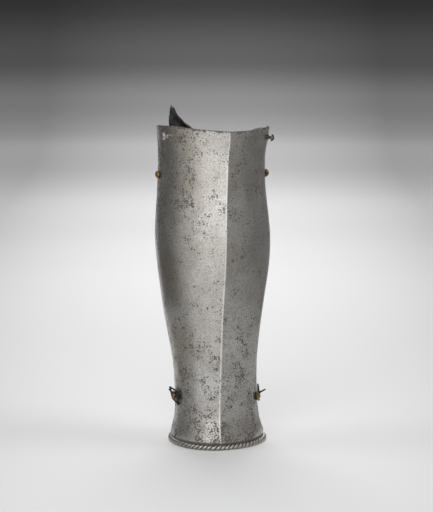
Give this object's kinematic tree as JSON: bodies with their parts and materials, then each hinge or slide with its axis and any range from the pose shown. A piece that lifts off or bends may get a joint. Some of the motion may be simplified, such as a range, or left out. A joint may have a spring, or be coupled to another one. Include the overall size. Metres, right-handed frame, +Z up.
{
  "type": "greave",
  "caption": "Closed steel greave for a lower leg: a ridged shin plate with a hinged calf plate, roped foot border, turning pins and ankle buckles.",
  "frame": {"origin": "middle of the greave's box, on the ground that the roped border stands on", "axes": "+Z up the leg from foot to knee, shin to -Y, hinge side to +X"},
  "size_m": [0.1398, 0.1259, 0.4036],
  "materials": {
    "plate_steel": "polished plate, pitted and speckled with dark corrosion",
    "border_steel": "roped turned edge, bright on the crests and dark in the cuts",
    "fitting_steel": "filed steel with brown stain",
    "dark_iron": "forged iron, blackened and rusted",
    "brass": "worn brass sheet with brown patina",
    "lining_leather": "dry brown leather"
  },
  "bodies": {
    "shin": {"front_plate": "plate_steel", "front_border": "border_steel", "front_border_wire": "fitting_steel", "upper_hinge_front_leaf": "fitting_steel", "lower_hinge_front_leaf": "fitting_steel", "upper_hinge_pin": "fitting_steel", "lower_hinge_pin": "fitting_steel", "brass_rivet_caps": "brass", "capped_rivets": "fitting_steel", "capped_rivet_burrs": "fitting_steel", "medial_turning_pin_burr": "fitting_steel", "lateral_turning_pin_burr": "fitting_steel", "front_lining_band": "lining_leather", "front_lining_rivets": "fitting_steel", "front_lining_washers": "fitting_steel", "medial_buckle_chape": "dark_iron", "lateral_buckle_chape": "dark_iron"},
    "calf": {"back_plate": "plate_steel", "back_border": "border_steel", "back_border_wire": "fitting_steel", "back_top_edge_wire": "fitting_steel", "upper_hinge_back_leaf": "fitting_steel", "lower_hinge_back_leaf": "fitting_steel", "hinge_leaf_rivets": "fitting_steel", "back_lining_band": "lining_leather", "back_lining_rivets": "fitting_steel", "back_lining_washers": "fitting_steel"},
    "medial_pin": {"medial_turning_pin": "fitting_steel"},
    "lateral_pin": {"lateral_turning_pin": "fitting_steel"},
    "medial_frame": {"medial_buckle_frame": "dark_iron"},
    "medial_tongue": {"medial_buckle_tongue": "dark_iron"},
    "lateral_frame": {"lateral_buckle_frame": "dark_iron"},
    "lateral_tongue": {"lateral_buckle_tongue": "dark_iron"}
  },
  "joints": [
    {"name": "calf_hinge", "type": "hinge", "parent": "shin", "child": "calf", "pos_m": [0.05727, 0.00922, 0.19], "axis": [-0.0369, 0, -0.9993], "range_deg": [0, 55]},
    {"name": "medial_pin_turn", "type": "hinge", "parent": "shin", "child": "medial_pin", "pos_m": [-0.05915, -0.023, 0.3727], "axis": [-0.8548, -0.5068, -0.1119], "range_deg": [0, 90]},
    {"name": "lateral_pin_turn", "type": "hinge", "parent": "shin", "child": "lateral_pin", "pos_m": [0.06107, -0.02289, 0.369], "axis": [0.9032, -0.4086, -0.1313], "range_deg": [0, 90]},
    {"name": "medial_frame_swing", "type": "hinge", "parent": "shin", "child": "medial_frame", "pos_m": [-0.04578, -0.01581, 0.05648], "axis": [0.0162, -0.087, 0.9961], "range_deg": [0, 90]},
    {"name": "medial_tongue_swing", "type": "hinge", "parent": "medial_frame", "child": "medial_tongue", "pos_m": [-0.04578, -0.01581, 0.05648], "axis": [0.0162, -0.087, 0.9961], "range_deg": [0, 60]},
    {"name": "lateral_frame_swing", "type": "hinge", "parent": "shin", "child": "lateral_frame", "pos_m": [0.05405, -0.01023, 0.05425], "axis": [0.0453, 0.0166, -0.9988], "range_deg": [0, 70]},
    {"name": "lateral_tongue_swing", "type": "hinge", "parent": "lateral_frame", "child": "lateral_tongue", "pos_m": [0.05405, -0.01023, 0.05425], "axis": [0.0453, 0.0166, -0.9988], "range_deg": [-25, 45]}
  ]
}
